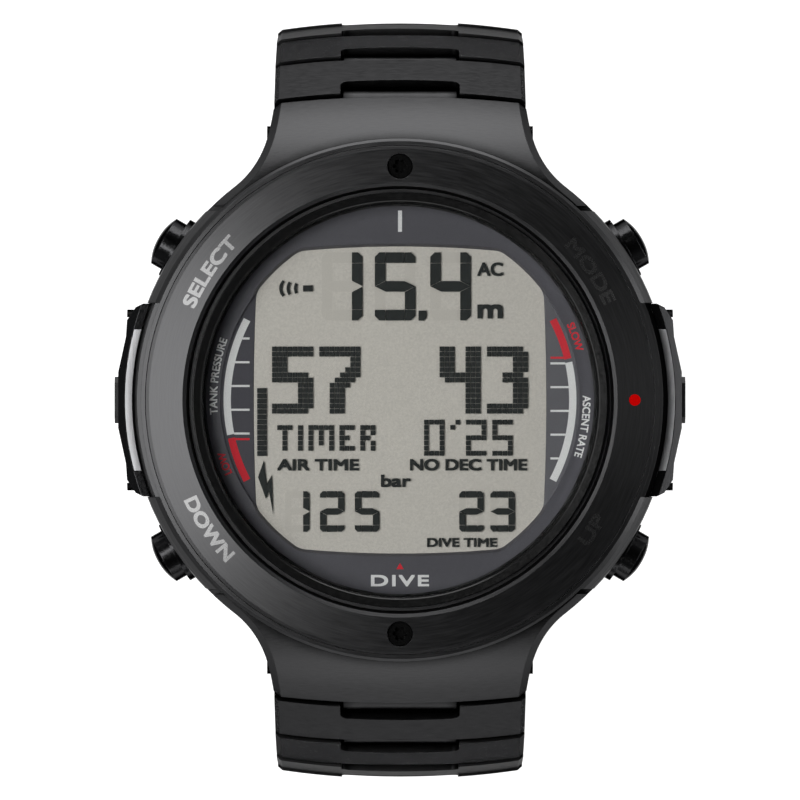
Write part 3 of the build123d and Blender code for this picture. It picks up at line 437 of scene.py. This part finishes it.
def band(inner, outer, start, end, steps=24):
    """Outline of a stretch of a ring."""
    return arc_points(outer, start, end, steps) + arc_points(inner, end, start, steps)


# ---------------------------------------------------------------- print on the mask
GAUGE_INNER = 16.3
GAUGE_OUTER = 17.0
GAUGE_END = 27.7  # degrees above and below the middle
TICK_THICKNESS = 0.2
TICK_PITCH = 2.29
TICK_REACH = 14.5
WHITE_TICKS = 5
RED_TICKS = 1
RUN_GAP = 0.17  # half of the gap between the white and the red run
TANK_SPLIT = -3.5  # height at which the red run meets the white one
ASCENT_SPLIT = 3.8


def gauge(name, side, split, red_top):
    """Scale beside the display: a white run and a red run, with level ticks."""
    middle = (GAUGE_INNER + GAUGE_OUTER) / 2
    high = degrees(asin((split + RUN_GAP) / middle))
    low = degrees(asin((split - RUN_GAP) / middle))
    for run, start, end in (("upper", high, GAUGE_END), ("lower", -GAUGE_END, low)):
        red = (run == "upper") == red_top
        sign = 1 if run == "upper" else -1
        first = split + sign * (RUN_GAP + TICK_THICKNESS / 2)
        shapes = [band(GAUGE_INNER, GAUGE_OUTER, start, end)]
        for i in range(RED_TICKS if red else WHITE_TICKS):
            y = first + sign * i * TICK_PITCH
            reach = sqrt(GAUGE_INNER ** 2 - y ** 2) - TICK_REACH
            shapes.append(rectangle(TICK_REACH, y - TICK_THICKNESS / 2, reach, TICK_THICKNESS))
        slot = "print_red" if red else "print_white"
        plates(f"{name}_{run}", shapes, scale_face(side), slot)


gauge("tank_gauge", -1, TANK_SPLIT, red_top=False)
gauge("ascent_gauge", 1, ASCENT_SPLIT, red_top=True)

TWELVE_MARK = rectangle(-0.19, 16.2, 0.38, 2.05)
SIX_MARK = [(-0.36, -16.3), (0.36, -16.3), (0, -15.7)]
mask = flat(0, 0, MASK_FACE)
plates("twelve_mark", [TWELVE_MARK], mask, "print_white")
plates("six_mark", [SIX_MARK], mask, "print_red")

DIAL_WORD_LEVEL = -17.95
dial_word_place = flat(0, DIAL_WORD_LEVEL, MASK_FACE)
lettering("dial_word", "DIVE", 1.1, 5.6, dial_word_place, "print_white", 0.05, spacing=1.15)

MASK_TEXT_RADIUS = 17.6
MASK_TEXT_HEIGHT = 0.75
MASK_TEXT_BOLD = 0.02
for name, words, angle, width, slot in (
    ("tank_pressure", "TANK PRESSURE", 172.6, 7.3, "print_white"),
    ("tank_low", "LOW", 199.9, 2.15, "print_red"),
    ("ascent_rate", "ASCENT RATE", -8.2, 5.9, "print_white"),
    ("ascent_slow", "SLOW", 19.8, 2.75, "print_red"),
):
    at = round_dial(MASK_TEXT_RADIUS, angle, mask_face)
    lettering(name, words, MASK_TEXT_HEIGHT, width, at, slot, MASK_TEXT_BOLD)

# ---------------------------------------------------------------- bezel words
BEZEL_TEXT_HEIGHT = 1.35
BEZEL_TEXT_MIDDLE = 22.2
BEZEL_TEXT_BOLD = 0.07
for words, angle, width, tops_out in (
    ("SELECT", 146, 7.6, True),
    ("MODE", 34, 6.9, True),
    ("DOWN", 214, 7.2, False),
    ("UP", 326, 3.3, False),
):
    sign = 1 if tops_out else -1
    radius = BEZEL_TEXT_MIDDLE - sign * BEZEL_TEXT_HEIGHT / 2
    at = round_dial(radius, angle, bezel_face, tops_out)
    lettering(
        f"bezel_{words.lower()}",
        words,
        BEZEL_TEXT_HEIGHT,
        width,
        at,
        "bezel_steel",
        BEZEL_TEXT_BOLD,
        material=ETCHING,
    )

DOT_MIDDLE = 22.5
DOT_RADIUS = 0.55
DOT_THICKNESS = 0.05
DOT_SIDES = 24


def dot_place(x, y, height):
    """Lay a drawing on the bezel's slope at 3 o'clock."""
    reach = DOT_MIDDLE + x
    return Vector((reach * MM, y * MM, bezel_face(reach) + height * MM))


dot_outline = arc_points(DOT_RADIUS, 0, 360 - 360 / DOT_SIDES, DOT_SIDES - 1)
plates("bezel_dot", [dot_outline], dot_place, "print_red", DOT_THICKNESS, RED_ENAMEL)

# ---------------------------------------------------------------- display
INK_FACE = LCD_FACE + INK_HEIGHT * MM
lcd = flat(0, 0, INK_FACE)
SPLIT = 0.02  # half of the thin pale line between segments
GHOST_THICKNESS = 0.005


def trimmed(outline):
    """An outline drawn in a little on all sides."""
    middle_x = (max(x for x, y in outline) + min(x for x, y in outline)) / 2
    middle_y = (max(y for x, y in outline) + min(y for x, y in outline)) / 2

    def toward(value, middle):
        if abs(value - middle) < SPLIT:
            return value
        return value + SPLIT * (1 if value < middle else -1)

    return [(toward(x, middle_x), toward(y, middle_y)) for x, y in outline]


def digit_cells(width, height, bar):
    """The eleven cells of a seven-segment digit, from its lower left corner."""
    right = width - bar
    top = height - bar
    middle = height / 2
    half = bar / 2
    cut = bar * 0.4
    return {
        "top_left": [(0, top), (bar, top), (bar, height), (cut, height), (0, height - cut)],
        "top": rectangle(bar, top, right - bar, bar),
        "top_right": [
            (right, top),
            (width, top),
            (width, height - cut),
            (width - cut, height),
            (right, height),
        ],
        "upper_left": [(0, middle), (bar, middle + half), (bar, top), (0, top)],
        "upper_right": [(width, middle), (width, top), (right, top), (right, middle + half)],
        "middle": [
            (0, middle),
            (bar, middle - half),
            (right, middle - half),
            (width, middle),
            (right, middle + half),
            (bar, middle + half),
        ],
        "lower_left": [(0, bar), (bar, bar), (bar, middle - half), (0, middle)],
        "lower_right": [(right, bar), (width, bar), (width, middle), (right, middle - half)],
        "low_left": [(0, cut), (cut, 0), (bar, 0), (bar, bar), (0, bar)],
        "bottom": rectangle(bar, 0, right - bar, bar),
        "low_right": [(right, 0), (width - cut, 0), (width, cut), (width, bar), (right, bar)],
    }


RIGHT_SIDE = {"top_right", "upper_right", "lower_right", "low_right"}
TOP_ROW = {"top_left", "top", "top_right"}
BOTTOM_ROW = {"low_left", "bottom", "low_right"}
DIGITS = {
    "1": RIGHT_SIDE,
    "2": TOP_ROW | BOTTOM_ROW | {"upper_right", "middle", "lower_left"},
    "3": TOP_ROW | BOTTOM_ROW | RIGHT_SIDE | {"middle"},
    "4": RIGHT_SIDE | {"top_left", "upper_left", "middle"},
    "5": TOP_ROW | BOTTOM_ROW | {"upper_left", "middle", "lower_right"},
}


def segment_row(name, text, left, bottom, width, height, bar, pitch):
    """Seven-segment digits, and the faint unlit cells behind them."""
    lit = []
    unlit = []
    for i, figure in enumerate(text):
        for cell, outline in digit_cells(width, height, bar).items():
            shape = [(left + i * pitch + x, bottom + y) for x, y in trimmed(outline)]
            if cell in DIGITS[figure]:
                lit.append(shape)
            else:
                unlit.append(shape)
    plates(name, lit, lcd, "lcd_ink")
    panel = flat(0, 0, LCD_FACE)
    plates(name + "_unlit", unlit, panel, "lcd_glass", GHOST_THICKNESS, LCD_GHOST)


DEPTH_DIGIT = (3.95, 6.6, 1.06)  # width, height and bar
SMALL_DIGIT = (2.4, 3.95, 0.66)
DEPTH_LEVEL = 7.65
SMALL_LEVEL = -12.72
segment_row("depth_units", "15", -7.55, DEPTH_LEVEL, *DEPTH_DIGIT, pitch=5.1)
segment_row("depth_tenths", "4", 2.89, DEPTH_LEVEL, *DEPTH_DIGIT, pitch=5.1)
segment_row("tank_digits", "125", -11.1, SMALL_LEVEL, *SMALL_DIGIT, pitch=3.36)
segment_row("dive_time_digits", "23", 5.69, SMALL_LEVEL, *SMALL_DIGIT, pitch=3.0)

# figures drawn in square dots: a # is a lit dot
DOT_PITCH = 0.5
BIG_FIGURES = {
    "5": (
        "########",
        "########",
        "###.....",
        "###.....",
        "###.....",
        "#######.",
        "########",
        ".....###",
        ".....###",
        ".....###",
        ".....###",
        "########",
        "#######.",
    ),
    "7": (
        "########",
        "########",
        "......##",
        "......##",
        ".....###",
        "....####",
        "...####.",
        "..####..",
        "..###...",
        "..###...",
        "..###...",
        "..###...",
        "..###...",
    ),
    "4": (
        "###..###",
        "###..###",
        "###..###",
        "###..###",
        "###..###",
        "########",
        ".#######",
        ".....###",
        ".....###",
        ".....###",
        ".....###",
        ".....###",
        ".....###",
    ),
    "3": (
        "#######.",
        "########",
        ".....###",
        ".....###",
        ".....###",
        "...####.",
        "...#####",
        ".....###",
        ".....###",
        ".....###",
        ".....###",
        "########",
        "#######.",
    ),
}
DOT_FIGURES = {
    "T": ("###", ".#.", ".#.", ".#.", ".#."),
    "I": ("#", "#", "#", "#", "#"),
    "M": ("#####", "#.#.#", "#.#.#", "#.#.#", "#...#"),
    "E": ("###", "#..", "##.", "#..", "###"),
    "R": ("###", "#.#", "##.", "#.#", "#.#"),
    "0": ("####", "#..#", "#..#", "#..#", "#..#", "#..#", "####"),
    "'": (".#", "#."),
    "2": ("####", "...#", "...#", "####", "#...", "#...", "####"),
    "5": ("####", "#...", "#...", "####", "...#", "...#", "####"),
}


def dots(pattern, left, top):
    """Square cells of a dot pattern, from its upper left corner."""
    shapes = []
    for row, line in enumerate(pattern):
        for column, mark in enumerate(line):
            if mark == "#":
                x = left + column * DOT_PITCH
                y = top - (row + 1) * DOT_PITCH
                shapes.append(trimmed(rectangle(x, y, DOT_PITCH, DOT_PITCH)))
    return shapes


def figure_row(name, figures, columns, top, font):
    """Figures of a font in one row, each from its own left edge."""
    shapes = []
    for figure, column in zip(figures, columns):
        shapes += dots(font[figure], column, top)
    plates(name, shapes, lcd, "lcd_ink")


BIG_TOP = 5.17
figure_row("air_time_dots", "57", (-12.36, -7.81), BIG_TOP, BIG_FIGURES)
figure_row("no_dec_dots", "43", (3.79, 8.35), BIG_TOP, BIG_FIGURES)
figure_row("timer_dots", "TIMER", (-11.86, -9.86, -8.86, -5.86, -3.86), -2.41, DOT_FIGURES)
figure_row("clock_dots", "0'25", (2.29, 4.82, 6.33, 8.87), -1.89, DOT_FIGURES)

BAR_LEFT = -13.79
BAR_TOP = 1.16
BAR_WIDTH = 0.97
BAR_CELL = 0.505
BAR_CELLS = 13
tank_bar = []
for i in range(BAR_CELLS):
    cell_bottom = BAR_TOP - (i + 1) * BAR_CELL
    tank_bar.append(trimmed(rectangle(BAR_LEFT, cell_bottom, BAR_WIDTH, BAR_CELL)))
plates("tank_bar", tank_bar, lcd, "lcd_ink")

COMMA = [(1.78, 7.65), (2.3, 7.65), (2.57, 7.95), (2.57, 8.62), (1.78, 8.62)]
BOLT = [
    (-13.11, -5.79),
    (-13.69, -7.43),
    (-12.92, -9.55),
    (-12.63, -8.8),
    (-12.22, -11.1),
    (-12.35, -7.2),
    (-12.85, -8.1),
]
# the transmitter symbol: a block, and three waves that shrink towards it
TRANSMITTER = rectangle(-9.35, 10.45, 0.95, 0.6)
WAVE_PLACE = (-10.5, 10.75)
WAVE_INNER = 0.85
WAVE_OUTER = 1.15
WAVE_STEPS = 10
display_symbols = [TRANSMITTER]
for shift, half in ((0, 46), (0.71, 36), (1.42, 28)):
    wave = band(WAVE_INNER, WAVE_OUTER, 180 - half, 180 + half, WAVE_STEPS)
    display_symbols.append([(x + WAVE_PLACE[0] + shift, y + WAVE_PLACE[1]) for x, y in wave])
plates("display_symbols", display_symbols + [COMMA, BOLT], lcd, "lcd_ink")

for name, words, x, y, height, width, bold in (
    ("label_ac", "AC", 8.68, 11.95, 1.3, 2.5, 0.05),
    ("label_metres", "m", 8.68, 7.85, 1.95, 2.45, 0.1),
    ("label_air_time", "AIR TIME", -7.9, -6.8, 1.11, 7.9, 0.06),
    ("label_no_dec_time", "NO DEC TIME", 6.6, -6.8, 1.11, 11.3, 0.06),
    ("label_bar", "bar", -0.39, -8.39, 1.2, 2.9, 0.06),
    ("label_dive_time", "DIVE TIME", 5.98, -14.17, 0.87, 6.75, 0.045),
):
    lettering(name, words, height, width, flat(x, y, INK_FACE), "lcd_ink", bold)

# ---------------------------------------------------------------- studio, in metres
FLOOR_SIZE = 3.0
PAPER_WHITE = (0.3, 0.3, 0.3, 1)
WALL_LIGHT = 0.2
CEILING_LIGHT = 0.03
WALL_TOP = 0.45  # sine of the elevation at which the wall starts to darken
CEILING_EDGE = 0.92
COOL_WHITE = (0.95, 0.97, 1, 1)

floor_shape = bmesh.new()
bmesh.ops.create_grid(floor_shape, x_segments=1, y_segments=1, size=FLOOR_SIZE / 2)
floor_mesh = bpy.data.meshes.new("floor")
floor_shape.to_mesh(floor_mesh)
floor_shape.free()
floor = bpy.data.objects.new("floor", floor_mesh)
bpy.context.scene.collection.objects.link(floor)
# the paper glows evenly, so that it stays white between soft lights
paper = Finish("floor_paper", PAPER_WHITE, 0.9, Emission_Color=(1, 1, 1, 1), Emission_Strength=1.0)
fibres = paper.noise(paper.place((400, 400, 400)), 3)
paper.vary_roughness(fibres, 0.85, 0.95)
floor.data.materials.append(paper.material)

# the studio's walls are pale and its ceiling is nearly black
world = bpy.data.worlds.new("studio")
world.use_nodes = True
bpy.context.scene.world = world
room = world.node_tree
direction = room.nodes.new("ShaderNodeTexCoord")
split = room.nodes.new("ShaderNodeSeparateXYZ")
fade = room.nodes.new("ShaderNodeMapRange")
fade.inputs["From Min"].default_value = WALL_TOP
fade.inputs["From Max"].default_value = CEILING_EDGE
fade.inputs["To Min"].default_value = WALL_LIGHT
fade.inputs["To Max"].default_value = CEILING_LIGHT
room.links.new(direction.outputs["Generated"], split.inputs[0])
room.links.new(split.outputs[2], fade.inputs["Value"])
room.links.new(fade.outputs["Result"], room.nodes["Background"].inputs["Strength"])
room.nodes["Background"].inputs["Color"].default_value = COOL_WHITE


def soft_light(name, tilt, bearing, distance, width, length, radiance):
    """Area light that faces the watch.

    Its tilt is from the zenith and its bearing from +X, in degrees. Its width runs
    round the watch and its length towards the zenith.
    """
    light = bpy.data.lights.new(name, "AREA")
    light.shape = "RECTANGLE"
    light.size = width
    light.size_y = length
    light.energy = radiance * pi * width * length
    holder = bpy.data.objects.new(name, light)
    away = Vector((
        sin(radians(tilt)) * cos(radians(bearing)),
        sin(radians(tilt)) * sin(radians(bearing)),
        cos(radians(tilt)),
    ))
    holder.location = Vector((0, 0, BEZEL_TOP)) + away * distance
    holder.rotation_mode = "QUATERNION"
    holder.rotation_quaternion = away.to_track_quat("Z", "Y")
    bpy.context.scene.collection.objects.link(holder)


soft_light("key_left", 29, 180, 0.45, 0.36, 0.26, 5.9)
soft_light("fill_right", 35, 3, 0.6, 0.18, 0.2, 0.75)
soft_light("side_right", 86, 0, 0.6, 0.7, 0.14, 4.5)
soft_light("fill_top", 74, 90, 0.6, 0.6, 0.42, 4.4)
soft_light("fill_bottom", 70, 270, 0.6, 0.5, 0.3, 2.0)

CAMERA_DISTANCE = 0.6
SENSOR = 36.0  # millimetres, as is the lens
VIEW_WIDTH = 0.0766  # metres across the picture at the bezel's height

camera = bpy.data.cameras.new("camera")
camera.sensor_width = SENSOR
camera.lens = SENSOR * CAMERA_DISTANCE / VIEW_WIDTH
camera_holder = bpy.data.objects.new("camera", camera)
camera_holder.location = (0, 0, BEZEL_TOP + CAMERA_DISTANCE)
bpy.context.scene.collection.objects.link(camera_holder)
bpy.context.scene.camera = camera_holder
bpy.context.scene.view_settings.view_transform = "Standard"
